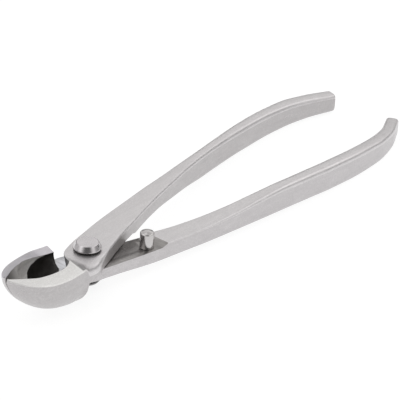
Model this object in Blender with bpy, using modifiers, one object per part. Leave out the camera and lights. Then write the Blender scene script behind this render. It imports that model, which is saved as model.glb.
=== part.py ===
"""Knob cutter: two forged levers that cross and turn on one headed rivet.

Run with: blender --background --python part.py

The levers are modelled with the pivot axis on Z and the plane on which they lap at Z = 0. The jaws reach
towards -X and the handles towards +X. The upper lever lies above the lap plane, its jaw at -Y and its
handle at +Y, and the lower lever is its opposite. The empty "pivot" lifts all of it, so that the object's
own origin is the centre of the lower rivet head's flat face.
"""

import math

import bmesh
import bpy
from mathutils import Vector

MM = 0.001

# Driving dimensions of the pivot
LAP_THICKNESS = 5.0 * MM
LAP_GAP = 0.3 * MM
SHANK_RADIUS = 3.0 * MM
RUNNING_CLEARANCE = 0.1 * MM
HEAD_RADIUS = 4.85 * MM
HEAD_FACE_RADIUS = 3.9 * MM
HEAD_FACE_HEIGHT = 8.0 * MM  # from the lap plane
CAP_FACE_RADIUS = 4.2 * MM
CAP_FACE_HEIGHT = 7.1 * MM  # from the lap plane
CAP_BORE_DEPTH = 0.8 * MM
WASHER_RADIUS = 4.7 * MM
WASHER_THICKNESS = 0.6 * MM
STACK_GAP = 0.1 * MM

# Stop pin, pressed through the lower lever
PIN_PLACE = (22.3 * MM, -7.7 * MM)
PIN_RADIUS = 2.5 * MM
PIN_SHANK_RADIUS = 1.6 * MM
PIN_HEIGHT = 6.2 * MM
PIN_CHAMFER = 0.6 * MM

# Bowl that the two jaws form, open at the top
BOWL_REAR = -12.0 * MM
BOWL_LENGTH = 28.6 * MM
BOWL_DEPTH = 20.3 * MM
BOWL_FULLNESS = 0.69  # exponent of its lower outline, 0.5 for an ellipse
FRONT_BULGE, SIDE_BULGE, REAR_BULGE = 1.6, 2.1, 2.25  # exponents of the outer side's sections
BOWL_CANT = 0.021  # sideways drift of both jaws for each unit of length in front of the rear
UPPER_TIP = -40.1 * MM
LOWER_TIP = -40.3 * MM
RIDGE_HEIGHT = 10.9 * MM  # of the ground rims where they meet
RIM_SLOPE = 0.38
RIM_SCOOP = 2.0 * MM  # how far the lower jaw's inner rim falls away at its rear
LOWER_LEAN = 2.3 * MM  # how far the lower jaw's outer rim leans in at its rear
EDGE_THICKNESS = 0.5 * MM
MATING_GAP = 0.3 * MM

# Rear of each jaw, cut away so that the other lever's neck can swing
CLEARANCE_SLANT = 0.288
CLEARANCE_FRONT = -13.55 * MM
LAP_RAMP_START = 25.6 * MM
LAP_RAMP_RUN = 2.5  # length of the ramp for each unit of its rise

# Plan of a lever whose jaw is at -Y, (x, y) in mm: the outer rim of its jaw and the rear side of its neck,
# the inner rim as far as the neck's corner, and the front side of the neck
OUTER_PLAN = (
    (-40.8, -0.4),
    (-40.3, -1.1),
    (-39.7, -2.0),
    (-38.5, -3.5),
    (-37.3, -4.75),
    (-35.9, -6.0),
    (-33.8, -7.5),
    (-30.5, -9.3),
    (-27.3, -10.4),
    (-24.0, -11.0),
    (-20.0, -11.3),
    (-16.0, -11.3),
    (-12.5, -10.9),
    (-8.0, -10.1),
    (-4.0, -9.3),
    (0.0, -7.4),
    (6.0, -5.1),
)
UPPER_RIM = (
    (-40.6, -0.1),
    (-38.6, -1.35),
    (-36.7, -2.3),
    (-34.0, -3.65),
    (-29.5, -5.55),
    (-24.0, -6.55),
    (-20.2, -6.8),
    (-17.6, -6.5),
    (-15.4, -5.5),
    (-13.1, -3.7),
    (-11.0, -1.2),
    (-7.6, 3.9),
)
LOWER_RIM = (
    (-40.6, 0.1),
    (-37.5, -1.6),
    (-34.9, -3.1),
    (-32.1, -4.4),
    (-29.2, -5.5),
    (-26.9, -6.0),
    (-24.7, -6.3),
    (-21.5, -6.2),
    (-18.0, -5.9),
    (-15.0, -5.2),
    (-12.4, -4.1),
    (-10.4, -1.8),
    (-7.6, 3.9),
)
# Inside of each jaw: (x, depth of the ground bevel below the inner rim, thickness below the hollow) in mm
INSIDE = (
    (-31.0, 14.0, 0.5),
    (-29.0, 8.4, 0.6),
    (-27.5, 6.4, 0.9),
    (-26.0, 5.0, 1.4),
    (-25.0, 3.7, 1.8),
    (-23.9, 2.9, 2.2),
    (-22.5, 2.4, 3.0),
    (-20.0, 1.6, 4.4),
    (-18.0, 1.2, 5.9),
    (-15.0, 0.8, 9.6),
    (-13.3, 0.6, 12.2),
    (-12.0, 0.5, 12.0),
    (-9.0, 0.5, 9.0),
)
BEVEL_SLOPE = 0.37  # how far the bevel comes in for each unit of its depth
BEVEL_SHARE = 0.85  # most of the inside's height that the bevel takes
NECK_FAR = ((-7.6, 3.9), (-6.0, 4.9), (-3.0, 6.0), (0.0, 6.9), (6.0, 8.3))
NECK_FRONT = -7.6 * MM
NECK_UNDERCUT = 1.6 * MM  # of the upper neck's front side
NECK_SOFTNESS = 2.8 * MM
HIDDEN_DEPTH = 1.5 * MM  # of the rough neck past the lap plane, before the lap is cut

# Handle of each lever: (x, inner and outer side's distance from the middle, top z, bottom z, corner
# radius) in mm. The ends drift a little apart, as the levers cross one above the other.
UPPER_HANDLE = (
    (6.0, -5.1, 8.3, 5.0, -1.5, 0.3),
    (15.0, -1.6, 10.15, 5.0, -1.5, 0.35),
    (25.0, 1.5, 11.9, 5.0, -1.0, 0.4),
    (35.0, 4.6, 13.4, 5.0, -0.8, 0.5),
    (47.0, 8.0, 15.3, 5.0, -1.2, 0.7),
    (60.0, 11.2, 17.0, 5.0, -2.4, 1.0),
    (72.0, 14.1, 18.9, 5.0, -3.8, 1.4),
    (85.0, 16.5, 20.7, 5.1, -5.1, 1.7),
    (98.0, 18.1, 22.5, 5.25, -5.2, 1.9),
    (112.0, 19.25, 24.3, 5.3, -5.2, 2.1),
    (127.0, 19.8, 25.2, 5.3, -4.95, 2.1),
    (140.0, 18.9, 24.8, 5.2, -4.3, 1.9),
    (152.0, 16.5, 22.3, 4.8, -3.7, 1.8),
    (163.5, 12.2, 17.7, 4.4, -3.0, 1.6),
)
LOWER_HANDLE = (
    (6.0, -5.1, 8.3, 1.5, -5.0, 0.3),
    (15.0, -1.4, 10.15, 1.5, -5.0, 0.35),
    (25.0, 1.9, 12.1, 1.0, -5.0, 0.4),
    (35.0, 4.9, 13.7, 0.8, -5.1, 0.5),
    (47.0, 8.1, 15.8, 1.2, -5.15, 0.7),
    (60.0, 11.1, 17.8, 2.2, -5.1, 1.0),
    (72.0, 13.9, 19.7, 3.9, -5.0, 1.4),
    (85.0, 16.15, 21.4, 5.1, -5.05, 1.8),
    (98.0, 17.6, 23.0, 5.3, -5.15, 2.1),
    (112.0, 19.0, 24.6, 5.35, -5.2, 2.1),
    (127.0, 19.75, 25.4, 5.1, -5.2, 2.1),
    (140.0, 19.2, 24.9, 4.4, -5.0, 1.9),
    (152.0, 17.2, 22.6, 3.7, -4.6, 1.8),
    (163.5, 12.5, 17.6, 3.1, -4.1, 1.6),
)
HANDLE_END_ROUNDING = 1.3 * MM
HANDLE_SQUARE_FROM = 30.0 * MM  # where the sections have turned square to the handle's own line

# Mesh density
BOWL_STATIONS = 16
NECK_STATIONS = 9
HANDLE_STATIONS = 28
END_STATIONS = 3
CORNER_POINTS = 3
BULGE_POINTS = 12
POCKET_POINTS = 5
BEVEL_POINTS = 2
ROUND_SIDES = 48

UP, DOWN, OUT = Vector((0, 1)), Vector((0, -1)), Vector((1, 0))


def along(table, x, column=1):
    """Smooth value of a column at x: a cubic through the table's points that doesn't overshoot them."""
    xs = [row[0] for row in table]
    ys = [row[column] for row in table]
    if x <= xs[0]:
        return ys[0]
    if x >= xs[-1]:
        return ys[-1]
    chords = [(ys[i + 1] - ys[i]) / (xs[i + 1] - xs[i]) for i in range(len(xs) - 1)]
    slopes = [chords[0]]
    for before, after in zip(chords, chords[1:]):
        slopes.append(0.0 if before * after <= 0 else 2 * before * after / (before + after))
    slopes.append(chords[-1])
    i = max(k for k in range(len(xs) - 1) if xs[k] <= x)
    step = xs[i + 1] - xs[i]
    t = (x - xs[i]) / step
    return (
        ys[i] * (1 + 2 * t) * (1 - t) ** 2
        + step * slopes[i] * t * (1 - t) ** 2
        + ys[i + 1] * t * t * (3 - 2 * t)
        + step * slopes[i + 1] * t * t * (t - 1)
    )


def ease(x, start, end):
    """0 before start, 1 after end, smooth between."""
    t = min(1.0, max(0.0, (x - start) / (end - start)))
    return t * t * (3 - 2 * t)


def mix(a, b, share):
    return a + (b - a) * share


def rounded(point, arriving, leaving, radius, count=CORNER_POINTS):
    """Corner of an outline, cut back by radius and rounded with count points."""
    start = point - arriving.normalized() * radius
    end = point + leaving.normalized() * radius
    shares = [i / (count - 1) for i in range(count)]
    return [start * (1 - t) ** 2 + point * 2 * t * (1 - t) + end * t * t for t in shares]


def quarter(start, end, power, count, sinks_first):
    """Quarter of a superellipse between two points, without its ends. It leaves start vertically if
    sinks_first is true, and sideways if not."""
    points = []
    for i in range(1, count + 1):
        angle = math.pi / 2 * i / (count + 1)
        slow = 1 - math.cos(angle) ** (2 / power)
        fast = math.sin(angle) ** (2 / power)
        across, down = (slow, fast) if sinks_first else (fast, slow)
        points.append(Vector((mix(start.x, end.x, across), mix(start.y, end.y, down))))
    return points


def bracket(start, corner, end, radius, count):
    """Straight side, rounded corner and straight side from start to end, without the ends."""
    third = count // 4
    turn = rounded(corner, DOWN, OUT, radius, count - 2 * third)
    side = [start.lerp(turn[0], (i + 1) / (third + 1)) for i in range(third)]
    base = [turn[-1].lerp(end, (i + 1) / (third + 1)) for i in range(third)]
    return side + turn + base


def settle(x, start, end):
    """0 before start, 1 after end; it sets off abruptly and ends smoothly."""
    t = min(1.0, max(0.0, (x - start) / (end - start)))
    return t * (2 - t)


def inside(heel, rim_end, depth, hollow, power):
    """Far side of a section, from the heel up to the rim: the wall of the pocket, the crease at depth below
    the rim, and the bevel. The wall bows out by the share hollow, towards a superellipse of that power."""
    height = rim_end.y - heel.y
    depth = min(depth, BEVEL_SHARE * height)
    straight = heel.lerp(rim_end, 1 - depth / height)
    ground = Vector((rim_end.x - BEVEL_SLOPE * depth, rim_end.y - depth))
    crease = straight.lerp(ground, hollow)
    wall = quarter(heel, crease, mix(1.0, power, hollow), POCKET_POINTS, False)
    bevel = [crease.lerp(rim_end, (i + 1) / (BEVEL_POINTS + 1)) for i in range(BEVEL_POINTS)]
    return [*wall, crease, *bevel]


def section(near, far, edge, tops, bottom, radii, foot, squareness, lean=0.0, bulge=2.1, hollow=(1.0, 0.0, 1.0)):
    """Closed outline across a lever, in (y, z). It runs from the far top corner over the top to the near
    side, down and round the bulge to the bottom edge, and up the inside or the far side."""
    near_top, far_top = Vector((near + lean, tops[0])), Vector((far, tops[1]))
    low_near, low_edge = Vector((near, bottom)), Vector((edge, bottom))
    near_radius, far_radius, low_radius, edge_radius = radii
    over = near_top - far_top
    outline = rounded(far_top, UP, over, far_radius)
    outline += rounded(near_top, over, DOWN, near_radius)
    low = rounded(low_edge, OUT, UP, edge_radius)
    bowed = quarter(outline[-1], low[0], bulge, BULGE_POINTS, True)
    boxed = bracket(outline[-1], low_near, low[0], low_radius, BULGE_POINTS)
    outline += [a.lerp(b, squareness) for a, b in zip(bowed, boxed)]
    outline += low
    heel = Vector((edge, bottom + min(foot, 0.75 * (tops[1] - bottom))))
    return outline + inside(heel, far_top + DOWN * far_radius, *hollow)


def cant(x):
    """Sideways drift of the jaws at x."""
    return BOWL_CANT * max(0.0, BOWL_REAR - x)


def bowl_bottom(x):
    """Height of the cutting edge along the bottom of the bowl."""
    reach = min(1.0, max(0.0, BOWL_REAR - x) / BOWL_LENGTH)
    return RIDGE_HEIGHT - BOWL_DEPTH * (1 - reach * reach) ** BOWL_FULLNESS


def rim(y):
    """Height of a jaw's ground rim, which falls away on both sides of the ridge."""
    return RIDGE_HEIGHT - RIM_SLOPE * abs(y)


def jaw_outline(x, is_upper):
    """Section of the jaw and the neck at x, for a jaw at -Y."""
    inner = UPPER_RIM if is_upper else LOWER_RIM
    far = along(inner if x < NECK_FRONT else NECK_FAR, x / MM) * MM
    near = along(OUTER_PLAN, x / MM) * MM
    soft = NECK_SOFTNESS * ease(x, -13 * MM, -10 * MM) * (1 - ease(x, -5 * MM, 6 * MM))
    if is_upper:
        near_top = mix(rim(near), LAP_THICKNESS, settle(x, -12.4 * MM, -5 * MM))
        far_top = mix(rim(far), LAP_THICKNESS, settle(x, -14.6 * MM, -8.5 * MM))
        bottom = mix(bowl_bottom(x), -HIDDEN_DEPTH, ease(x, -10 * MM, 0.0))
        undercut = NECK_UNDERCUT * ease(x, -13 * MM, -9 * MM) * (1 - ease(x, -5 * MM, 0.0))
        radii = (0.3 * MM + soft, 0.15 * MM, 0.3 * MM, 0.15 * MM)
        lean = 0.0
        square = ease(x, -12.5 * MM, -2 * MM)
    else:
        drop = ease(x, -8 * MM, 0.0)
        lean = LOWER_LEAN * ease(x, -18 * MM, -11 * MM) * (1 - drop)
        near_top = mix(rim(near + lean), HIDDEN_DEPTH, drop)
        far_top = mix(rim(far) - RIM_SCOOP * ease(x, -26 * MM, -12 * MM), HIDDEN_DEPTH, drop)
        bottom = mix(bowl_bottom(x), -LAP_THICKNESS, ease(x, -13 * MM, -5 * MM))
        undercut = 0.0
        radii = (0.3 * MM, 0.15 * MM, 0.3 * MM + soft, 0.15 * MM)
        square = ease(x, -12.5 * MM, -6 * MM)
    hollow = ease(x, -30 * MM, -27 * MM) * (1 - ease(x, -13 * MM, -11 * MM))
    bulge = FRONT_BULGE + (SIDE_BULGE - FRONT_BULGE) * settle(x, -41 * MM, -32 * MM)
    return section(
        near,
        far,
        max(-MATING_GAP / 2, far - undercut),
        (near_top, far_top),
        bottom,
        radii,
        mix(along(INSIDE, x / MM, 2) * MM, 0.3 * MM, ease(x, -12 * MM, 3 * MM)),
        square,
        lean,
        mix(bulge, REAR_BULGE, ease(x, -20 * MM, -12 * MM)),
        (along(INSIDE, x / MM, 1) * MM, hollow, mix(2.3, 1.9, ease(x, -20 * MM, -13.5 * MM))),
    )


def handle_loop(x, is_upper, beyond=0.0, shrink=0.0):
    """Section square to the handle's line at x, moved on by beyond and drawn in by shrink."""
    table = UPPER_HANDLE if is_upper else LOWER_HANDLE
    inner, outer, top, bottom, radius = (along(table, x / MM, k) * MM for k in (1, 2, 3, 4, 5))
    half, top, bottom = (outer - inner) / 2 - shrink, top - shrink, bottom + shrink
    soft = radius + 0.7 * MM * (1 - ease(x, 30 * MM, 80 * MM))
    radii = (soft, radius, radius, radius) if is_upper else (radius, radius, soft, radius)
    outline = section(-half, half, half, (top, top), bottom, radii, radius + 0.1 * MM, 1.0)
    first, last = table[0][0], table[-1][0]
    ends = [min(last, max(first, x / MM + step)) for step in (-0.5, 0.5)]
    rise = sum(along(table, ends[1], k) - along(table, ends[0], k) for k in (1, 2)) / 2
    run = Vector((ends[1] - ends[0], rise)).normalized()
    run = Vector((1, 0)).lerp(run, ease(x, first * MM, HANDLE_SQUARE_FROM)).normalized()
    centre = Vector((x, (inner + outer) / 2)) + run * beyond
    across = Vector((-run.y, run.x))
    return [(*(centre + across * p.x), p.y) for p in outline]


def lever_loops(is_upper):
    """All sections of a lever, from the tip of its jaw to the end of its handle."""
    start, end = UPPER_HANDLE[0][0] * MM, UPPER_HANDLE[-1][0] * MM
    reach = BOWL_REAR - (UPPER_TIP if is_upper else LOWER_TIP)
    quarter_turn = [math.pi / 2 * (1 - i / BOWL_STATIONS) for i in range(BOWL_STATIONS)]
    bowl = [BOWL_REAR - reach * math.sin(angle) for angle in quarter_turn]
    front = [mix(BOWL_REAR, NECK_FRONT, i / NECK_STATIONS) for i in range(NECK_STATIONS)]
    rear = [mix(NECK_FRONT, start, i / NECK_STATIONS) for i in range(NECK_STATIONS)]
    loops = [[(x, p.x, p.y) for p in jaw_outline(x, is_upper)] for x in bowl + front + rear]
    for i in range(HANDLE_STATIONS + 1):
        loops.append(handle_loop(mix(start, end, i / HANDLE_STATIONS), is_upper))
    for i in range(1, END_STATIONS + 1):
        angle = math.pi / 2 * i / END_STATIONS
        beyond, shrink = math.sin(angle), 1 - math.cos(angle)
        loops.append(handle_loop(end, is_upper, HANDLE_END_ROUNDING * beyond, HANDLE_END_ROUNDING * shrink))
    side = 1 if is_upper else -1
    return [[(x, side * y - cant(x), z) for x, y, z in loop] for loop in loops]


def add_mesh(name, work, collection):
    """New object from a bmesh, with its origin at the pivot."""
    mesh = bpy.data.meshes.new(name)
    work.to_mesh(mesh)
    work.free()
    obj = bpy.data.objects.new(name, mesh)
    collection.objects.link(obj)
    return obj


def add_lever(name, is_upper, collection):
    """Loft through the lever's sections."""
    work = bmesh.new()
    rings = [[work.verts.new(p) for p in loop] for loop in lever_loops(is_upper)]
    count = len(rings[0])
    for ring, following in zip(rings, rings[1:]):
        for i in range(count):
            j = (i + 1) % count
            work.faces.new((ring[i], ring[j], following[j], following[i]))
    work.faces.new(rings[0])
    work.faces.new(rings[-1])
    bmesh.ops.recalc_face_normals(work, faces=work.faces)
    bmesh.ops.triangulate(work, faces=work.faces)
    return add_mesh(name, work, collection)


def add_turned(name, profile, collection):
    """Solid of revolution about Z from a profile of (radius, z), with a Screw modifier. The profile runs
    down its outer side. One that starts on the axis ends there too, and any other is a closed ring."""
    work = bmesh.new()
    points = [work.verts.new((radius, 0, z)) for radius, z in profile]
    following = points[1:] + (points[:1] if profile[0][0] > 0 else [])
    for a, b in zip(points, following):
        work.edges.new((a, b))
    obj = add_mesh(name, work, collection)
    screw = obj.modifiers.new("turn", "SCREW")
    screw.steps = screw.render_steps = ROUND_SIDES
    screw.use_merge_vertices = True
    screw.merge_threshold = 1e-6
    return obj


def add_cylinder_cutter(name, radius, place, collection):
    work = bmesh.new()
    depth = 4 * LAP_THICKNESS
    bmesh.ops.create_cone(
        work, cap_ends=True, segments=ROUND_SIDES, radius1=radius, radius2=radius, depth=depth
    )
    obj = add_mesh(name, work, collection)
    obj.location = (*place, 0)
    return obj


def add_lap_cutter(name, collection):
    """Block that halves the upper lever below the lap plane, from the swing clearance behind its jaw to
    the ramp at the start of its handle."""
    reach = 30 * MM
    work = bmesh.new()
    bmesh.ops.create_cube(work, size=2)
    for vert in work.verts:
        y = vert.co.y * reach
        z = LAP_GAP / 2 if vert.co.z > 0 else -reach
        if vert.co.x < 0:
            x = CLEARANCE_FRONT - CLEARANCE_SLANT * y
        else:
            x = LAP_RAMP_START + LAP_RAMP_RUN * (LAP_GAP / 2 - z)
        vert.co = (x, y, z)
    return add_mesh(name, work, collection)


def cut(obj, cutter):
    boolean = obj.modifiers.new("cut " + cutter.name, "BOOLEAN")
    boolean.operation = "DIFFERENCE"
    boolean.solver = "EXACT"
    boolean.object = cutter


def finish(obj, colour, roughness):
    """Own material, and smooth shading with sharp creases."""
    material = bpy.data.materials.new(obj.name)
    material.use_nodes = True
    shader = material.node_tree.nodes["Principled BSDF"]
    shader.inputs["Base Color"].default_value = (*colour, 1)
    shader.inputs["Metallic"].default_value = 1.0
    shader.inputs["Roughness"].default_value = roughness
    obj.data.materials.append(material)
    obj.data.shade_smooth()
    obj.data.set_sharp_from_angle(angle=math.radians(30))


def main():
    for obj in list(bpy.data.objects):
        bpy.data.objects.remove(obj, do_unlink=True)
    parts = bpy.data.collections.new("knob_cutter")
    cutters = bpy.data.collections.new("cutters")
    for collection in (parts, cutters):
        bpy.context.scene.collection.children.link(collection)

    upper = add_lever("upper_lever", True, parts)
    lower = add_lever("lower_lever", False, parts)
    upper_lap = add_lap_cutter("upper_lap_cutter", cutters)
    lower_lap = add_lap_cutter("lower_lap_cutter", cutters)
    lower_lap.rotation_euler.x = math.pi
    bore = add_cylinder_cutter("bore_cutter", SHANK_RADIUS + RUNNING_CLEARANCE, (0, 0), cutters)
    pin_bore = add_cylinder_cutter("pin_bore_cutter", PIN_SHANK_RADIUS + STACK_GAP, PIN_PLACE, cutters)
    for lever, lap in ((upper, upper_lap), (lower, lower_lap)):
        cut(lever, lap)
        cut(lever, bore)
    cut(lower, pin_bore)

    # The rivet's heads stand on the washers. The lower head is a cap, pressed on the shank.
    base = LAP_THICKNESS + 2 * STACK_GAP + WASHER_THICKNESS
    chamfer = 0.25 * MM
    head = [
        (0, HEAD_FACE_HEIGHT),
        (HEAD_FACE_RADIUS - chamfer, HEAD_FACE_HEIGHT),
        (HEAD_FACE_RADIUS, HEAD_FACE_HEIGHT - 0.6 * chamfer),
        (HEAD_RADIUS, base + 0.3 * MM),
        (HEAD_RADIUS, base),
    ]
    shank_end = -base - CAP_BORE_DEPTH + STACK_GAP
    shank = [(SHANK_RADIUS, base), (SHANK_RADIUS, shank_end), (0, shank_end)]
    rivet = add_turned("pivot_rivet", head + shank, parts)
    well_radius = SHANK_RADIUS + STACK_GAP
    well_top = base + CAP_BORE_DEPTH
    cap_profile = [
        (0, CAP_FACE_HEIGHT),
        (CAP_FACE_RADIUS - chamfer, CAP_FACE_HEIGHT),
        (CAP_FACE_RADIUS, CAP_FACE_HEIGHT - 0.6 * chamfer),
        (HEAD_RADIUS, base + 0.3 * MM),
        (HEAD_RADIUS, base),
        (well_radius, base),
        (well_radius, well_top),
        (0, well_top),
    ]
    cap = add_turned("rivet_cap", cap_profile, parts)
    cap.rotation_euler.x = math.pi

    low = LAP_THICKNESS + STACK_GAP
    high = low + WASHER_THICKNESS
    ring = [(WASHER_RADIUS, high), (WASHER_RADIUS, low), (well_radius, low), (well_radius, high)]
    washers = [add_turned(name, ring, parts) for name in ("upper_washer", "lower_washer")]
    washers[1].rotation_euler.x = math.pi

    floor = -LAP_GAP / 2 + STACK_GAP
    pin_end = -LAP_THICKNESS + STACK_GAP
    shoulder = PIN_HEIGHT - 0.45 * MM
    pin = [
        (0, PIN_HEIGHT),
        (0.55 * (PIN_RADIUS - PIN_CHAMFER), PIN_HEIGHT - 0.12 * MM),
        (PIN_RADIUS - PIN_CHAMFER, shoulder),
        (PIN_RADIUS, shoulder - PIN_CHAMFER),
        (PIN_RADIUS, floor),
        (PIN_SHANK_RADIUS, floor),
        (PIN_SHANK_RADIUS, pin_end),
        (0, pin_end),
    ]
    stop = add_turned("stop_pin", pin, parts)
    stop.location = (*PIN_PLACE, 0)

    finish(upper, (0.60, 0.59, 0.585), 0.34)
    finish(lower, (0.59, 0.58, 0.575), 0.34)
    finish(rivet, (0.66, 0.65, 0.64), 0.2)
    finish(cap, (0.65, 0.64, 0.63), 0.22)
    finish(washers[0], (0.30, 0.29, 0.28), 0.45)
    finish(washers[1], (0.29, 0.28, 0.27), 0.45)
    finish(stop, (0.68, 0.67, 0.66), 0.18)

    pivot = bpy.data.objects.new("pivot", None)
    pivot.location.z = CAP_FACE_HEIGHT
    parts.objects.link(pivot)
    for obj in [*parts.objects, *cutters.objects]:
        if obj is not pivot:
            obj.parent = pivot
    for obj in cutters.objects:
        obj.hide_render = True
        obj.display_type = "WIRE"


main()
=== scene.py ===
import math

import bmesh
import bpy
from mathutils import Matrix, Vector


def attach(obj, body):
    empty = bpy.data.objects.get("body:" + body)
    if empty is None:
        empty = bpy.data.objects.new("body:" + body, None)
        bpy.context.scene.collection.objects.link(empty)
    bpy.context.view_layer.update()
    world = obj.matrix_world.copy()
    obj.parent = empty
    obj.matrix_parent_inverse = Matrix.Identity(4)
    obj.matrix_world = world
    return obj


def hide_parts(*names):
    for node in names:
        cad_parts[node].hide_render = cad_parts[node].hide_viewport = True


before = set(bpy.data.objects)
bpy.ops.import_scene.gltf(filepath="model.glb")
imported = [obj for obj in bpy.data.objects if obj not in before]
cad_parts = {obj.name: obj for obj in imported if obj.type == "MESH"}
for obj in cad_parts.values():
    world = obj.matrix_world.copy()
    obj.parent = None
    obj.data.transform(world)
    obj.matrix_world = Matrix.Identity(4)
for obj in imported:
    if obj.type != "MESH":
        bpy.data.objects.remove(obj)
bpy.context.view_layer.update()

MM = 0.001

# Driving dimensions of the pivot
LAP_THICKNESS = 5.0 * MM
LAP_GAP = 0.3 * MM
SHANK_RADIUS = 3.0 * MM
RUNNING_CLEARANCE = 0.1 * MM
HEAD_RADIUS = 4.85 * MM
HEAD_FACE_RADIUS = 3.9 * MM
HEAD_FACE_HEIGHT = 8.0 * MM  # from the lap plane
CAP_FACE_RADIUS = 4.2 * MM
CAP_FACE_HEIGHT = 7.1 * MM  # from the lap plane
CAP_BORE_DEPTH = 0.8 * MM
WASHER_RADIUS = 4.7 * MM
WASHER_THICKNESS = 0.6 * MM
STACK_GAP = 0.1 * MM

# Stop pin, pressed through the lower lever
PIN_PLACE = (22.3 * MM, -7.7 * MM)
PIN_RADIUS = 2.5 * MM
PIN_SHANK_RADIUS = 1.6 * MM
PIN_HEIGHT = 6.2 * MM
PIN_CHAMFER = 0.6 * MM

# Bowl that the two jaws form, open at the top
BOWL_REAR = -12.0 * MM
BOWL_LENGTH = 28.6 * MM
BOWL_DEPTH = 20.3 * MM
BOWL_FULLNESS = 0.69  # exponent of its lower outline, 0.5 for an ellipse
FRONT_BULGE, SIDE_BULGE, REAR_BULGE = 1.6, 2.1, 2.25  # exponents of the outer side's sections
BOWL_CANT = 0.021  # sideways drift of both jaws for each unit of length in front of the rear
UPPER_TIP = -40.1 * MM
LOWER_TIP = -40.3 * MM
RIDGE_HEIGHT = 10.9 * MM  # of the ground rims where they meet
RIM_SLOPE = 0.38
RIM_SCOOP = 2.0 * MM  # how far the lower jaw's inner rim falls away at its rear
LOWER_LEAN = 2.3 * MM  # how far the lower jaw's outer rim leans in at its rear
MATING_GAP = 0.3 * MM

# Rear of each jaw, cut away so that the other lever's neck can swing
CLEARANCE_SLANT = 0.288
CLEARANCE_FRONT = -13.55 * MM
LAP_RAMP_START = 25.6 * MM
LAP_RAMP_RUN = 2.5  # length of the ramp for each unit of its rise

# Plan of a lever whose jaw is at -Y, (x, y) in mm: the outer rim of its jaw and the rear side of
# its neck, the inner rim as far as the neck's corner, and the front side of the neck
OUTER_PLAN = (
    (-40.8, -0.4),
    (-40.3, -1.1),
    (-39.7, -2.0),
    (-38.5, -3.5),
    (-37.3, -4.75),
    (-35.9, -6.0),
    (-33.8, -7.5),
    (-30.5, -9.3),
    (-27.3, -10.4),
    (-24.0, -11.0),
    (-20.0, -11.3),
    (-16.0, -11.3),
    (-12.5, -10.9),
    (-8.0, -10.1),
    (-4.0, -9.3),
    (0.0, -7.4),
    (6.0, -5.1),
)
UPPER_RIM = (
    (-40.6, -0.1),
    (-38.6, -1.35),
    (-36.7, -2.3),
    (-34.0, -3.65),
    (-29.5, -5.55),
    (-24.0, -6.55),
    (-20.2, -6.8),
    (-17.6, -6.5),
    (-15.4, -5.5),
    (-13.1, -3.7),
    (-11.0, -1.2),
    (-7.6, 3.9),
)
LOWER_RIM = (
    (-40.6, 0.1),
    (-37.5, -1.6),
    (-34.9, -3.1),
    (-32.1, -4.4),
    (-29.2, -5.5),
    (-26.9, -6.0),
    (-24.7, -6.3),
    (-21.5, -6.2),
    (-18.0, -5.9),
    (-15.0, -5.2),
    (-12.4, -4.1),
    (-10.4, -1.8),
    (-7.6, 3.9),
)
# Inside of each jaw: (x, depth of the ground bevel below the inner rim, thickness below the
# hollow) in mm
INSIDE = (
    (-31.0, 14.0, 0.5),
    (-29.0, 8.4, 0.6),
    (-27.5, 6.4, 0.9),
    (-26.0, 5.0, 1.4),
    (-25.0, 3.7, 1.8),
    (-23.9, 2.9, 2.2),
    (-22.5, 2.4, 3.0),
    (-20.0, 1.6, 4.4),
    (-18.0, 1.2, 5.9),
    (-15.0, 0.8, 9.6),
    (-13.3, 0.6, 12.2),
    (-12.0, 0.5, 12.0),
    (-9.0, 0.5, 9.0),
)
BEVEL_SLOPE = 0.37  # how far the bevel comes in for each unit of its depth
BEVEL_SHARE = 0.85  # most of the inside's height that the bevel takes
NECK_FAR = ((-7.6, 3.9), (-6.0, 4.9), (-3.0, 6.0), (0.0, 6.9), (6.0, 8.3))
NECK_FRONT = -7.6 * MM
NECK_UNDERCUT = 1.6 * MM  # of the upper neck's front side
NECK_SOFTNESS = 2.8 * MM  # added to the radius of the neck's outer corner
NECK_FOOT = 0.3 * MM  # height of the upright foot of the neck's front side
HIDDEN_DEPTH = 1.5 * MM  # of the rough neck past the lap plane, before the lap is cut
OUTER_RADIUS, INNER_RADIUS = 0.3 * MM, 0.15 * MM  # of a jaw's corners
POCKET_POWERS = (2.3, 1.9)  # exponents of the hollow's sections, in front and at the rear
HEEL_SHARE = 0.75  # most of a section's height that the foot below the hollow takes

# Stretches of x over which the sections of a jaw and its neck change
NECK_SOFTENS, NECK_HARDENS = (-13 * MM, -10 * MM), (-5 * MM, 6 * MM)
UPPER_OUTER_DROPS, UPPER_INNER_DROPS = (-12.4 * MM, -5 * MM), (-14.6 * MM, -8.5 * MM)
LOWER_DROPS = (-8 * MM, 0.0)
UPPER_FLOOR_FALLS, LOWER_FLOOR_FALLS = (-10 * MM, 0.0), (-13 * MM, -5 * MM)
UNDERCUT_GROWS, UNDERCUT_ENDS = (-13 * MM, -9 * MM), (-5 * MM, 0.0)
LEAN_GROWS, SCOOP_GROWS = (-18 * MM, -11 * MM), (-26 * MM, -12 * MM)
UPPER_SQUARES, LOWER_SQUARES = (-12.5 * MM, -2 * MM), (-12.5 * MM, -6 * MM)
HOLLOW_GROWS, HOLLOW_ENDS = (-30 * MM, -27 * MM), (-13 * MM, -11 * MM)
FRONT_TO_SIDE, SIDE_TO_REAR = (-41 * MM, -32 * MM), (-20 * MM, -12 * MM)
FOOT_SHRINKS, POCKET_TURNS = (-12 * MM, 3 * MM), (-20 * MM, -13.5 * MM)

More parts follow.
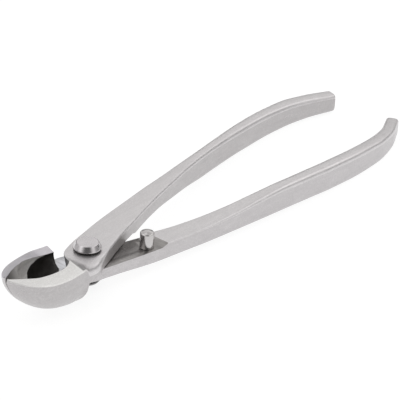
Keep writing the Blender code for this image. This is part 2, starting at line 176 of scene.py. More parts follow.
# Handle of each lever: (x, inner and outer side's distance from the middle, top z, bottom z, corner
# radius) in mm. The ends drift a little apart, as the levers cross one above the other.
UPPER_HANDLE = (
    (6.0, -5.1, 8.3, 5.0, -1.5, 0.3),
    (15.0, -1.6, 10.15, 5.0, -1.5, 0.35),
    (25.0, 1.5, 11.9, 5.0, -1.0, 0.4),
    (35.0, 4.6, 13.4, 5.0, -0.8, 0.5),
    (47.0, 8.0, 15.3, 5.0, -1.2, 0.7),
    (60.0, 11.2, 17.0, 5.0, -2.4, 1.0),
    (72.0, 14.1, 18.9, 5.0, -3.8, 1.4),
    (85.0, 16.5, 20.7, 5.1, -5.1, 1.7),
    (98.0, 18.1, 22.5, 5.25, -5.2, 1.9),
    (112.0, 19.25, 24.3, 5.3, -5.2, 2.1),
    (127.0, 19.8, 25.2, 5.3, -4.95, 2.1),
    (140.0, 18.9, 24.8, 5.2, -4.3, 1.9),
    (152.0, 16.5, 22.3, 4.8, -3.7, 1.8),
    (163.5, 12.2, 17.7, 4.4, -3.0, 1.6),
)
LOWER_HANDLE = (
    (6.0, -5.1, 8.3, 1.5, -5.0, 0.3),
    (15.0, -1.4, 10.15, 1.5, -5.0, 0.35),
    (25.0, 1.9, 12.1, 1.0, -5.0, 0.4),
    (35.0, 4.9, 13.7, 0.8, -5.1, 0.5),
    (47.0, 8.1, 15.8, 1.2, -5.15, 0.7),
    (60.0, 11.1, 17.8, 2.2, -5.1, 1.0),
    (72.0, 13.9, 19.7, 3.9, -5.0, 1.4),
    (85.0, 16.15, 21.4, 5.1, -5.05, 1.8),
    (98.0, 17.6, 23.0, 5.3, -5.15, 2.1),
    (112.0, 19.0, 24.6, 5.35, -5.2, 2.1),
    (127.0, 19.75, 25.4, 5.1, -5.2, 2.1),
    (140.0, 19.2, 24.9, 4.4, -5.0, 1.9),
    (152.0, 17.2, 22.6, 3.7, -4.6, 1.8),
    (163.5, 12.5, 17.6, 3.1, -4.1, 1.6),
)
HANDLE_END_ROUNDING = 1.3 * MM
HANDLE_SQUARE_FROM = 30.0 * MM  # where the sections have turned square to the handle's own line
HANDLE_SOFTNESS = 0.7 * MM  # added to the radius of the outer corner at the handle's start
HANDLE_HARDENS = (30 * MM, 80 * MM)
HANDLE_FOOT = 0.1 * MM  # upright stretch above the handle's lower corner

# Mesh density
BOWL_STATIONS = 56
NECK_STATIONS = 22
HANDLE_STATIONS = 84
END_STATIONS = 7
CORNER_POINTS = 6
BULGE_POINTS = 30
POCKET_POINTS = 14
BEVEL_POINTS = 6
ROUND_SIDES = 128

UP, DOWN, OUT = Vector((0, 1)), Vector((0, -1)), Vector((1, 0))


def along(table, x, column=1):
    """Smooth value of a column at x: a cubic through the table's points that doesn't overshoot."""
    xs = [row[0] for row in table]
    ys = [row[column] for row in table]
    if x <= xs[0]:
        return ys[0]
    if x >= xs[-1]:
        return ys[-1]
    chords = [(ys[i + 1] - ys[i]) / (xs[i + 1] - xs[i]) for i in range(len(xs) - 1)]
    slopes = [chords[0]]
    for before, after in zip(chords, chords[1:]):
        slopes.append(0.0 if before * after <= 0 else 2 * before * after / (before + after))
    slopes.append(chords[-1])
    i = max(k for k in range(len(xs) - 1) if xs[k] <= x)
    step = xs[i + 1] - xs[i]
    t = (x - xs[i]) / step
    return (
        ys[i] * (1 + 2 * t) * (1 - t) ** 2
        + step * slopes[i] * t * (1 - t) ** 2
        + ys[i + 1] * t * t * (3 - 2 * t)
        + step * slopes[i + 1] * t * t * (t - 1)
    )


def ease(x, start, end):
    """0 before start, 1 after end, smooth between."""
    t = min(1.0, max(0.0, (x - start) / (end - start)))
    return t * t * (3 - 2 * t)


def mix(a, b, share):
    return a + (b - a) * share


def rounded(point, arriving, leaving, radius, count=CORNER_POINTS):
    """Corner of an outline, cut back by radius and rounded with count points."""
    start = point - arriving.normalized() * radius
    end = point + leaving.normalized() * radius
    shares = [i / (count - 1) for i in range(count)]
    return [start * (1 - t) ** 2 + point * 2 * t * (1 - t) + end * t * t for t in shares]


def quarter(start, end, power, count, sinks_first):
    """Quarter of a superellipse between two points, without its ends. It leaves start vertically
    if sinks_first is true, and sideways if not."""
    points = []
    for i in range(1, count + 1):
        angle = math.pi / 2 * i / (count + 1)
        slow = 1 - math.cos(angle) ** (2 / power)
        fast = math.sin(angle) ** (2 / power)
        across, down = (slow, fast) if sinks_first else (fast, slow)
        points.append(Vector((mix(start.x, end.x, across), mix(start.y, end.y, down))))
    return points


def bracket(start, corner, end, radius, count):
    """Straight side, rounded corner and straight side from start to end, without the ends."""
    third = count // 4
    turn = rounded(corner, DOWN, OUT, radius, count - 2 * third)
    side = [start.lerp(turn[0], (i + 1) / (third + 1)) for i in range(third)]
    base = [turn[-1].lerp(end, (i + 1) / (third + 1)) for i in range(third)]
    return side + turn + base


def settle(x, start, end):
    """0 before start, 1 after end; it sets off abruptly and ends smoothly."""
    t = min(1.0, max(0.0, (x - start) / (end - start)))
    return t * (2 - t)


def inside(heel, rim_end, depth, hollow, power):
    """Far side of a section, from the heel up to the rim: the wall of the pocket, the crease at
    depth below the rim, and the bevel. The wall bows out by the share hollow, towards a
    superellipse of that power."""
    height = rim_end.y - heel.y
    depth = min(depth, BEVEL_SHARE * height)
    straight = heel.lerp(rim_end, 1 - depth / height)
    ground = Vector((rim_end.x - BEVEL_SLOPE * depth, rim_end.y - depth))
    crease = straight.lerp(ground, hollow)
    wall = quarter(heel, crease, mix(1.0, power, hollow), POCKET_POINTS, False)
    bevel = [crease.lerp(rim_end, (i + 1) / (BEVEL_POINTS + 1)) for i in range(BEVEL_POINTS)]
    return [*wall, crease, *bevel]


def section(
    near,
    far,
    edge,
    tops,
    bottom,
    radii,
    foot,
    squareness,
    lean=0.0,
    bulge=SIDE_BULGE,
    hollow=(1.0, 0.0, 1.0),
):
    """Closed outline across a lever, in (y, z). It runs from the far top corner over the top to
    the near side, down and round the bulge to the bottom edge, and up the inside or the far side.
    hollow holds the depth of the bevel, the share of the pocket and the exponent of its wall."""
    near_top, far_top = Vector((near + lean, tops[0])), Vector((far, tops[1]))
    low_near, low_edge = Vector((near, bottom)), Vector((edge, bottom))
    near_radius, far_radius, low_radius, edge_radius = radii
    over = near_top - far_top
    outline = rounded(far_top, UP, over, far_radius)
    outline += rounded(near_top, over, DOWN, near_radius)
    low = rounded(low_edge, OUT, UP, edge_radius)
    bowed = quarter(outline[-1], low[0], bulge, BULGE_POINTS, True)
    boxed = bracket(outline[-1], low_near, low[0], low_radius, BULGE_POINTS)
    outline += [a.lerp(b, squareness) for a, b in zip(bowed, boxed)]
    outline += low
    heel = Vector((edge, bottom + min(foot, HEEL_SHARE * (tops[1] - bottom))))
    return outline + inside(heel, far_top + DOWN * far_radius, *hollow)


def cant(x):
    """Sideways drift of the jaws at x."""
    return BOWL_CANT * max(0.0, BOWL_REAR - x)


def bowl_bottom(x):
    """Height of the cutting edge along the bottom of the bowl."""
    reach = min(1.0, max(0.0, BOWL_REAR - x) / BOWL_LENGTH)
    return RIDGE_HEIGHT - BOWL_DEPTH * (1 - reach * reach) ** BOWL_FULLNESS


def rim(y):
    """Height of a jaw's ground rim, which falls away on both sides of the ridge."""
    return RIDGE_HEIGHT - RIM_SLOPE * abs(y)


def jaw_outline(x, is_upper):
    """Section of the jaw and the neck at x, for a jaw at -Y."""
    inner = UPPER_RIM if is_upper else LOWER_RIM
    far = along(inner if x < NECK_FRONT else NECK_FAR, x / MM) * MM
    near = along(OUTER_PLAN, x / MM) * MM
    soft = NECK_SOFTNESS * ease(x, *NECK_SOFTENS) * (1 - ease(x, *NECK_HARDENS))
    if is_upper:
        near_top = mix(rim(near), LAP_THICKNESS, settle(x, *UPPER_OUTER_DROPS))
        far_top = mix(rim(far), LAP_THICKNESS, settle(x, *UPPER_INNER_DROPS))
        bottom = mix(bowl_bottom(x), -HIDDEN_DEPTH, ease(x, *UPPER_FLOOR_FALLS))
        undercut = NECK_UNDERCUT * ease(x, *UNDERCUT_GROWS) * (1 - ease(x, *UNDERCUT_ENDS))
        radii = (OUTER_RADIUS + soft, INNER_RADIUS, OUTER_RADIUS, INNER_RADIUS)
        lean = 0.0
        square = ease(x, *UPPER_SQUARES)
    else:
        drop = ease(x, *LOWER_DROPS)
        scoop = RIM_SCOOP * ease(x, *SCOOP_GROWS)
        lean = LOWER_LEAN * ease(x, *LEAN_GROWS) * (1 - drop)
        near_top = mix(rim(near + lean), HIDDEN_DEPTH, drop)
        far_top = mix(rim(far) - scoop, HIDDEN_DEPTH, drop)
        bottom = mix(bowl_bottom(x), -LAP_THICKNESS, ease(x, *LOWER_FLOOR_FALLS))
        undercut = 0.0
        radii = (OUTER_RADIUS, INNER_RADIUS, OUTER_RADIUS + soft, INNER_RADIUS)
        square = ease(x, *LOWER_SQUARES)
    bulge = FRONT_BULGE + (SIDE_BULGE - FRONT_BULGE) * settle(x, *FRONT_TO_SIDE)
    pocket = (
        along(INSIDE, x / MM, 1) * MM,
        ease(x, *HOLLOW_GROWS) * (1 - ease(x, *HOLLOW_ENDS)),
        mix(*POCKET_POWERS, ease(x, *POCKET_TURNS)),
    )
    return section(
        near,
        far,
        max(-MATING_GAP / 2, far - undercut),
        (near_top, far_top),
        bottom,
        radii,
        mix(along(INSIDE, x / MM, 2) * MM, NECK_FOOT, ease(x, *FOOT_SHRINKS)),
        square,
        lean,
        mix(bulge, REAR_BULGE, ease(x, *SIDE_TO_REAR)),
        pocket,
    )


def handle_loop(x, is_upper, beyond=0.0, shrink=0.0):
    """Section square to the handle's line at x, moved on by beyond and drawn in by shrink."""
    table = UPPER_HANDLE if is_upper else LOWER_HANDLE
    inner, outer, top, bottom, radius = (along(table, x / MM, k) * MM for k in (1, 2, 3, 4, 5))
    half, top, bottom = (outer - inner) / 2 - shrink, top - shrink, bottom + shrink
    soft = radius + HANDLE_SOFTNESS * (1 - ease(x, *HANDLE_HARDENS))
    radii = (soft, radius, radius, radius) if is_upper else (radius, radius, soft, radius)
    foot = radius + HANDLE_FOOT
    outline = section(-half, half, half, (top, top), bottom, radii, foot, 1.0)
    first, last = table[0][0], table[-1][0]
    ends = [min(last, max(first, x / MM + step)) for step in (-0.5, 0.5)]
    rise = sum(along(table, ends[1], k) - along(table, ends[0], k) for k in (1, 2)) / 2
    run = Vector((ends[1] - ends[0], rise)).normalized()
    run = Vector((1, 0)).lerp(run, ease(x, first * MM, HANDLE_SQUARE_FROM)).normalized()
    centre = Vector((x, (inner + outer) / 2)) + run * beyond
    across = Vector((-run.y, run.x))
    return [(*(centre + across * p.x), p.y) for p in outline]


def lever_loops(is_upper):
    """All sections of a lever, from the tip of its jaw to the end of its handle."""
    start, end = UPPER_HANDLE[0][0] * MM, UPPER_HANDLE[-1][0] * MM
    reach = BOWL_REAR - (UPPER_TIP if is_upper else LOWER_TIP)
    quarter_turn = [math.pi / 2 * (1 - i / BOWL_STATIONS) for i in range(BOWL_STATIONS)]
    bowl = [BOWL_REAR - reach * math.sin(angle) for angle in quarter_turn]
    front = [mix(BOWL_REAR, NECK_FRONT, i / NECK_STATIONS) for i in range(NECK_STATIONS)]
    rear = [mix(NECK_FRONT, start, i / NECK_STATIONS) for i in range(NECK_STATIONS)]
    loops = [[(x, p.x, p.y) for p in jaw_outline(x, is_upper)] for x in bowl + front + rear]
    for i in range(HANDLE_STATIONS + 1):
        loops.append(handle_loop(mix(start, end, i / HANDLE_STATIONS), is_upper))
    for i in range(1, END_STATIONS + 1):
        angle = math.pi / 2 * i / END_STATIONS
        beyond = HANDLE_END_ROUNDING * math.sin(angle)
        shrink = HANDLE_END_ROUNDING * (1 - math.cos(angle))
        loops.append(handle_loop(end, is_upper, beyond, shrink))
    side = 1 if is_upper else -1
    return [[(x, side * y - cant(x), z) for x, y, z in loop] for loop in loops]


# ---------------------------------------------------------------- materials

RIM, SIDE, HOLLOW, LAPPED, FLAT = range(5)  # face groups of a lever, in the order of its materials
AXIS_HEIGHT = CAP_FACE_HEIGHT  # of the lap plane above the frame's origin
BUMP_STRENGTH = 0.5
BRIGHTEST = 0.95  # colour that no polished spot passes

# Lower edge of the steel that was ground bright inside a jaw, in metres of x and z: it runs across
# both ranges, through these shares of them
GROUND_RANGE, GROUND_HEIGHTS = (-0.024, -0.012), (0.0035, 0.0148)
GROUND_LINE = (
    (0.0, 0.0),
    (0.07, 0.0),
    (0.125, 0.54),
    (0.19, 0.64),
    (0.275, 0.75),
    (0.37, 0.8),
    (0.47, 0.85),
    (0.67, 0.91),
    (0.78, 0.95),
    (1.0, 1.0),
)
GROUND_RAGGED = 0.0007  # metres by which that edge wanders


def opaque(colour, share=1.0):
    """The colour with an alpha, darker or brighter by share."""
    return (*[min(BRIGHTEST, c * share) for c in colour], 1)


class Nodes:
    """Short way to write the nodes of a material or a world."""

    def __init__(self, owner):
        owner.use_nodes = True
        self.owner = owner
        self.tree = owner.node_tree

    def add(self, kind, inputs=(), **settings):
        node = self.tree.nodes.new(kind)
        for key, value in settings.items():
            setattr(node, key, value)
        for key, value in dict(inputs).items():
            self.put(node.inputs[key], value)
        return node

    def put(self, socket, value):
        if isinstance(value, bpy.types.NodeSocket):
            self.tree.links.new(value, socket)
        else:
            socket.default_value = value

    def shade(self, **values):
        """Fills in the shader's inputs, with _ for a space in their names."""
        for key, value in values.items():
            self.put(self.tree.nodes["Principled BSDF"].inputs[key.replace("_", " ")], value)

    def maths(self, operation, a, b=0.0, clamp=False):
        node = self.add("ShaderNodeMath", {0: a, 1: b}, operation=operation, use_clamp=clamp)
        return node.outputs[0]

    def where(self):
        """Object coordinates in metres."""
        return self.add("ShaderNodeTexCoord").outputs["Object"]

    def split(self, vector):
        """X, Y and Z of a vector."""
        return self.add("ShaderNodeSeparateXYZ", {0: vector}).outputs

    def place(self, scale=(1, 1, 1)):
        """Object coordinates, stretched."""
        return self.add("ShaderNodeMapping", {"Vector": self.where(), "Scale": scale}).outputs[0]

    def noise(self, vector, scale, detail, rough=0.5):
        inputs = {"Vector": vector, "Scale": scale, "Detail": detail, "Roughness": rough}
        return self.add("ShaderNodeTexNoise", inputs).outputs["Fac"]

    def span(self, value, low, high, start=0.3, end=0.7, **settings):
        """low where the value is start or less, high where it is end or more."""
        inputs = {"From Min": start, "From Max": end, "To Min": low, "To Max": high}
        node = self.add("ShaderNodeMapRange", {"Value": value, **inputs}, **settings)
        return node.outputs["Result"]

    def blend(self, share, a, b):
        inputs = {0: share, 6: a, 7: b}  # 6 and 7 are the colours
        return self.add("ShaderNodeMix", inputs, data_type="RGBA").outputs[2]

    def bump(self, height, distance):
        inputs = {"Height": height, "Distance": distance, "Strength": BUMP_STRENGTH}
        self.shade(Normal=self.add("ShaderNodeBump", inputs).outputs[0])


def steel(
    name,
    colour,
    tint,
    roughness,
    spread,
    grain,
    grain_depth,
    brushing,
    brush_depth,
    streak=(40, 900, 900),
    metallic=1.0,
):
    """Bare steel: blasted grain, fine brushing, and a little variation in tone and roughness.
    grain and streak are noise scales per metre, streak one for each axis. brushing is how far
    the brushing darkens the steel, and spread is how far the roughness strays."""
    n = Nodes(bpy.data.materials.new(name))
    plain = n.place()
    cloud = n.noise(plain, 90, 4)
    streaks = n.noise(n.place(streak), 1.0, 5, 0.6)
    speck = n.noise(plain, grain, 2, 0.6)
    blotch = n.noise(plain, 240, 5, 0.7)
    pits = n.noise(plain, 1900, 3, 0.7)
    tone = n.blend(n.span(cloud, 0, 1), opaque(colour), opaque(tint))
    tone = n.blend(n.span(streaks, 0.0, brushing, 0.35, 0.75), tone, opaque(colour, 0.8))
    tone = n.blend(n.span(blotch, 0, 0.5), tone, opaque(colour, 0.86))
    tone = n.blend(n.span(pits, 0, 0.6, 0.42, 0.72), tone, opaque(colour, 0.8))
    tone = n.blend(n.span(pits, 0.45, 0, 0.28, 0.45), tone, opaque(colour, 1.18))
    brushed = n.span(streaks, -spread * brushing, spread * brushing)
    wear = n.maths("ADD", n.span(cloud, -spread, spread), brushed)
    n.shade(
        Base_Color=tone, Metallic=metallic, Roughness=n.maths("ADD", wear, roughness, True)
    )
    grains = n.maths("MULTIPLY", speck, grain_depth)
    n.bump(n.maths("ADD", grains, n.maths("MULTIPLY", streaks, brush_depth)), 0.0001)
    return n.owner


def hollow(name):
    """Inside of the jaw: near-black painted shade and reflection deep in the pocket, and in
    front of it and along the edge the steel that was ground bright. That steel is painted darker
    towards the tip as painted shade, and brighter towards the rear as a painted highlight."""
    n = Nodes(bpy.data.materials.new(name))
    x, _, z = n.split(n.where())
    ragged = n.maths("SUBTRACT", n.noise(n.place(), 700, 3), 0.5)
    ragged = n.maths("MULTIPLY", ragged, GROUND_RAGGED)
    curve = n.add("ShaderNodeFloatCurve", {"Value": n.span(x, 0, 1, *GROUND_RANGE)})
    line = curve.mapping.curves[0]
    line.points[0].location, line.points[1].location = GROUND_LINE[0], GROUND_LINE[-1]
    for at in GROUND_LINE[1:-1]:
        line.points.new(*at)
    curve.mapping.update()
    limit = n.span(curve.outputs[0], *GROUND_HEIGHTS, 0, 1)
    above = n.maths("ADD", n.maths("SUBTRACT", z, limit), ragged)
    bright = n.span(above, 0, 1, -0.0002, 0.0003)
    cloud = n.noise(n.place(), 420, 5, 0.6)
    pits = n.noise(n.place(), 2400, 3, 0.7)
    streaks = n.noise(n.place((500, 1500, 260)), 1.0, 5, 0.6)
    # The scale tone is near-black painted shade and reflection deep in the pocket.
    scale = n.blend(n.span(cloud, 0, 1), (0.016, 0.0135, 0.012, 1), (0.038, 0.034, 0.032, 1))
    # Ground steel: painted shade towards the tip, a painted highlight towards the rear.
    painted_shade_to_highlight = n.span(x, 0, 1, -0.036, -0.0235)
    ground = n.blend(painted_shade_to_highlight, (0.13, 0.122, 0.115, 1), (0.97, 0.95, 0.93, 1))
    ground = n.blend(n.span(streaks, 0, 0.35), ground, (0.34, 0.325, 0.32, 1))
    n.shade(
        Base_Color=n.blend(bright, scale, ground),
        Metallic=n.span(bright, 0.35, 0.12, 0, 1),
        Roughness=n.span(cloud, 0.36, 0.5),
    )
    n.bump(n.maths("ADD", n.maths("MULTIPLY", cloud, 0.6), pits), 0.00006)
    return n.owner


def lapped(name):
    """Milled lap face: a bright bluish painted highlight in front of the rivet, and dark painted
    shade between the levers behind it.
    """
    n = Nodes(bpy.data.materials.new(name))
    x = n.split(n.where())[0]
    cloud = n.noise(n.place(), 160, 4)
    marks = n.noise(n.place((1100, 90, 90)), 1.0, 4, 0.6)
    # behind masks the painted shade between the levers, behind the rivet.
    behind = n.span(n.maths("ADD", x, n.maths("MULTIPLY", cloud, 0.002)), 0, 1, -0.001, 0.003)
    lap_painted_highlight = n.blend(n.span(cloud, 0, 1), (0.78, 0.80, 0.85, 1), (0.72, 0.72, 0.74, 1))
    lap_painted_shade = n.blend(n.span(cloud, 0, 1), (0.27, 0.258, 0.25, 1), (0.40, 0.385, 0.375, 1))
    tone = n.blend(behind, lap_painted_highlight, lap_painted_shade)
    n.shade(
        Base_Color=n.blend(n.span(marks, 0, 0.4), tone, (0.16, 0.155, 0.15, 1)),
        Metallic=0.95,
        Roughness=n.maths("ADD", n.span(cloud, 0.26, 0.36), n.span(marks, -0.05, 0.05)),
    )
    n.bump(marks, 0.00005)
    return n.owner


def turned(name, colour, roughness, rings, centre=(0.0, 0.0), tint=None):
    """Turned steel: fine tool marks about a vertical axis through centre. rings is the scale of
    their noise per metre."""
    n = Nodes(bpy.data.materials.new(name))
    inputs = {0: n.where(), 1: (-centre[0], -centre[1], 0)}
    x, y, z = n.split(n.add("ShaderNodeVectorMath", inputs, operation="ADD").outputs[0])
    flat = n.add("ShaderNodeCombineXYZ", {0: x, 1: y}).outputs[0]
    radius = n.add("ShaderNodeVectorMath", {0: flat}, operation="LENGTH").outputs["Value"]
    path = n.maths("ADD", radius, n.maths("MULTIPLY", z, 0.8))
    inputs = {"W": n.maths("MULTIPLY", path, rings), "Scale": 1.0, "Detail": 3.0}
    marks = n.add("ShaderNodeTexNoise", inputs, noise_dimensions="1D").outputs["Fac"]
    cloud = n.noise(n.place(), 260, 3)
    other = opaque(tint) if tint else opaque(colour, 0.93)
    n.shade(
        Base_Color=n.blend(n.span(cloud, 0, 1), opaque(colour), other),
        Metallic=1.0,
        Roughness=n.maths("ADD", n.span(marks, -0.03, 0.05), roughness, True),
    )
    n.bump(marks, 0.00003)
    return n.owner


def lever_materials(name, tint, shade):
    """The finishes of one lever, in the order of the face groups. tint is the colour of its ground
    rim, and shade that of its sides, a darker copy of the steel as painted shade."""
    rim = steel(
        name + "_rim",
        tint,
        [c * 0.95 for c in tint],
        roughness=0.36,
        spread=0.04,
        grain=5200,
        grain_depth=0.5,
        brushing=0.35,
        brush_depth=0.8,
        streak=(260, 1500, 600),
    )
    flat = steel(
        name + "_satin",
        (0.67, 0.652, 0.656),
        (0.72, 0.70, 0.704),
        roughness=0.34,
        spread=0.05,
        grain=4200,
        grain_depth=0.7,
        brushing=0.35,
        brush_depth=0.4,
        metallic=0.82,
    )
    # The sides get a darker copy of the steel than the tops, as painted shade.
    side = steel(
        name + "_sides_painted_shade",
        shade,
        [c * 1.09 for c in shade],
        roughness=0.33,
        spread=0.06,
        grain=3400,
        grain_depth=0.9,
        brushing=0.45,
        brush_depth=0.5,
        metallic=0.86,
    )
    return [rim, side, hollow(name + "_hollow"), lapped(name + "_lapped"), flat]


# ---------------------------------------------------------------- pieces

SHARP_ANGLE, TURNED_SHARP_ANGLE = 24, 34  # degrees over which an edge is shaded as a crease
WORN_WIDTH, WORN_ANGLE = 0.09 * MM, 38  # of the levers' broken edges, and the angle they start at
CUTTER_REACH = 30 * MM  # how far the block that cuts a lap goes sideways and down
BORE_LENGTH = 20 * MM
UPPER_RIM_END = (-14.4 * MM, -12.2 * MM)  # where the ground rim ends, on its inner and outer side
LOWER_RIM_END = -11 * MM
HOLLOW_END = -7.4 * MM

# Lower edge of the lower lever beside the rivet's cap, which is broken by BREAK_DEPTH. It starts
# BREAK_HEIGHT below the lap plane and is whole BREAK_RISE further down. All in mm
BREAK_DEPTH, BREAK_HEIGHT, BREAK_RISE = 0.9, 3, 1.2
BREAK_FROM, BREAK_TO = (-9, -5), (1, 26)  # stretches of x where it grows and where it ends
BREAK_RADII = (5.0, 7.2)  # from the rivet's axis, in front of BREAK_ROUND
BREAK_WIDTH = (5.0, 8.5)  # from the middle of the tool, behind it
BREAK_ROUND = 5

parts = bpy.data.collections.new("knob_cutter")
helpers = bpy.data.collections.new("helpers")
for collection in (parts, helpers):
    bpy.context.scene.collection.children.link(collection)


def new_object(name, work, collection, materials):
    mesh = bpy.data.meshes.new(name)
    work.to_mesh(mesh)
    work.free()
    obj = bpy.data.objects.new(name, mesh)
    collection.objects.link(obj)
    for material in materials:
        mesh.materials.append(material)
    return obj


def groups_of_outline():
    """Face group of each step round a section, in front of the neck."""
    top = [RIM] * (2 * CORNER_POINTS - 1)
    side = [SIDE] * (BULGE_POINTS + CORNER_POINTS + 1)
    return top + side + [HOLLOW] * (POCKET_POINTS + BEVEL_POINTS + 1)


def ease_lower_edge(verts):
    """Breaks the lower edge beside the rivet's cap, so that the cap's side shows under it."""
    for vert in verts:
        x, y, z = (c / MM for c in vert.co)
        height = z - AXIS_HEIGHT / MM
        if height > -BREAK_HEIGHT or y > 0 or not BREAK_FROM[0] < x < BREAK_TO[1]:
            continue
        lengthwise = min(ease(x, *BREAK_FROM), 1 - ease(x, *BREAK_TO))
        in_front = x < BREAK_ROUND
        across = ease(math.hypot(x, y), *BREAK_RADII) if in_front else ease(-y, *BREAK_WIDTH)
        down = min(1, (-BREAK_HEIGHT - height) / BREAK_RISE)
        vert.co.z += BREAK_DEPTH * MM * lengthwise * across * down


def lever_mesh(name, is_upper, materials):
    work = bmesh.new()
    loops = [[(x, y, z + AXIS_HEIGHT) for x, y, z in loop] for loop in lever_loops(is_upper)]
    rings = [[work.verts.new(p) for p in loop] for loop in loops]
    groups = groups_of_outline()
    count = len(rings[0])
    assert len(groups) == count
    for ring, following in zip(rings, rings[1:]):
        for i, group in enumerate(groups):
            j = (i + 1) % count
            face = work.faces.new((ring[i], ring[j], following[j], following[i]))
            x = (ring[i].co.x + following[i].co.x) / 2
            if group == RIM:
                share = min(1, max(0, (i - CORNER_POINTS + 1.5) / 2))  # from inner to outer side
                rim_end = mix(*UPPER_RIM_END, share) if is_upper else LOWER_RIM_END
                group = RIM if x < rim_end else FLAT
            elif group == HOLLOW and x > HOLLOW_END:
                group = SIDE
            face.material_index = group
    for ring in (rings[0], rings[-1]):
        work.faces.new(ring).material_index = SIDE
    if not is_upper:
        ease_lower_edge(work.verts)
    bmesh.ops.recalc_face_normals(work, faces=work.faces)
    bmesh.ops.triangulate(work, faces=[f for f in work.faces if len(f.verts) > 4])
    return new_object(name, work, parts, materials)


def cutter_object(name, work, materials, group):
    for face in work.faces:
        face.material_index = group
    return new_object(name, work, helpers, materials)


def lap_cutter(name, upside_down, materials):
    """Block that cuts away a lever's lower half where the two cross, or its upper half if
    upside_down."""
    work = bmesh.new()
    bmesh.ops.create_cube(work, size=2)
    for vert in work.verts:
        y = vert.co.y * CUTTER_REACH
        z = LAP_GAP / 2 if vert.co.z > 0 else -CUTTER_REACH
        if vert.co.x < 0:
            x = CLEARANCE_FRONT - CLEARANCE_SLANT * y
        else:
            x = LAP_RAMP_START + LAP_RAMP_RUN * (LAP_GAP / 2 - z)
        flip = -1 if upside_down else 1
        vert.co = (x, flip * y, flip * z + AXIS_HEIGHT)
    return cutter_object(name, work, materials, LAPPED)


def cylinder_cutter(name, radius, place, materials):
    work = bmesh.new()
    bmesh.ops.create_cone(
        work,
        cap_ends=True,
        segments=ROUND_SIDES,
        radius1=radius,
        radius2=radius,
        depth=BORE_LENGTH,
    )
    for vert in work.verts:
        vert.co += Vector((*place, AXIS_HEIGHT))
    return cutter_object(name, work, materials, SIDE)


def baked(obj):
    """Applies the modifiers, and shades it smooth with creases."""
    graph = bpy.context.evaluated_depsgraph_get()
    graph.update()
    mesh = bpy.data.meshes.new_from_object(obj.evaluated_get(graph))
    obj.modifiers.clear()
    obj.data = mesh
    mesh.shade_smooth()
    mesh.set_sharp_from_angle(angle=math.radians(SHARP_ANGLE))


def build_lever(name, node, is_upper, tint, shade, body):
    materials = lever_materials(name, tint, shade)
    lever = lever_mesh(name, is_upper, materials)
    bore_radius = SHANK_RADIUS + RUNNING_CLEARANCE
    pin_bore_radius = PIN_SHANK_RADIUS + STACK_GAP
    cutters = [
        lap_cutter(name + "_lap", not is_upper, materials),
        cylinder_cutter(name + "_bore", bore_radius, (0, 0), materials),
    ]
    if not is_upper:
        cutters.append(cylinder_cutter(name + "_pin_bore", pin_bore_radius, PIN_PLACE, materials))
    for cutter in cutters:
        cut = lever.modifiers.new(cutter.name, "BOOLEAN")
        cut.operation = "DIFFERENCE"
        cut.solver = "EXACT"
        cut.object = cutter
    baked(lever)
    edges = lever.modifiers.new("worn_edges", "BEVEL")
    edges.width = WORN_WIDTH
    edges.segments = 2
    edges.limit_method = "ANGLE"
    edges.angle_limit = math.radians(WORN_ANGLE)
    baked(lever)
    for cutter in cutters:
        bpy.data.objects.remove(cutter, do_unlink=True)
    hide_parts(node)
    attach(lever, body)


def turned_piece(name, profile, place, upside_down, material, node):
    """Turned solid about a vertical axis through place. The profile is (radius, z) down the outer
    side, and it closes on itself unless it starts on the axis."""
    work = bmesh.new()
    flip = -1 if upside_down else 1
    angles = [2 * math.pi * i / ROUND_SIDES for i in range(ROUND_SIDES)]
    rings = []
    for radius, z in profile:
        spokes = [(radius * math.cos(a), radius * math.sin(a)) for a in angles]
        height = flip * z + AXIS_HEIGHT
        rings.append(
            [
                work.verts.new((place[0] + x, place[1] + y, height))
                for x, y in (spokes if radius > 0 else [(0, 0)])
            ]
        )
    closed = profile[0][0] > 0
    for a, b in zip(rings, rings[1:] + (rings[:1] if closed else [])):
        for i in range(ROUND_SIDES):
            j = (i + 1) % ROUND_SIDES
            if len(a) == 1:
                work.faces.new((a[0], b[j], b[i]))
            elif len(b) == 1:
                work.faces.new((a[i], a[j], b[0]))
            else:
                work.faces.new((a[i], a[j], b[j], b[i]))
    bmesh.ops.recalc_face_normals(work, faces=work.faces)
    obj = new_object(name, work, parts, [material])
    obj.data.shade_smooth()
    obj.data.set_sharp_from_angle(angle=math.radians(TURNED_SHARP_ANGLE))
    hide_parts(node)
    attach(obj, "lower_body")


def eased(profile, radius=0.15 * MM, most=0.35, steps=3):
    """Rounds the corners of a turned profile, over at most a share of the sides next to them."""
    out = [profile[0]]
    for before, here, after in zip(profile, profile[1:], profile[2:]):
        before, here, after = Vector(before), Vector(here), Vector(after)
        cut = min(radius, most * (before - here).length, most * (after - here).length)
        start = here + (before - here).normalized() * cut
        end = here + (after - here).normalized() * cut
        for k in range(steps + 1):
            t = k / steps
            out.append(tuple(start * (1 - t) ** 2 + here * 2 * t * (1 - t) + end * t * t))
    return [*out, profile[-1]]


# Each lever's second colour is that of its sides, darker than its tops as painted shade.
build_lever(
    "upper_lever_steel",
    "upper_lever",
    True,
    (0.82, 0.81, 0.795),
    (0.515, 0.498, 0.50),
    "upper_body",
)
build_lever(
    "lower_lever_steel",
    "lower_lever",
    False,
    (0.68, 0.655, 0.69),
    (0.57, 0.552, 0.558),
    "lower_body",
)

HEAD_BASE = LAP_THICKNESS + 2 * STACK_GAP + WASHER_THICKNESS  # height of a head above the lap plane
HEAD_BAND = 0.3 * MM  # upright band below a head's cone
CHAMFER_WIDTH, CHAMFER_DROP = 0.25 * MM, 0.15 * MM  # round a head's face
WELL_RADIUS, WELL_TOP = SHANK_RADIUS + STACK_GAP, HEAD_BASE + CAP_BORE_DEPTH


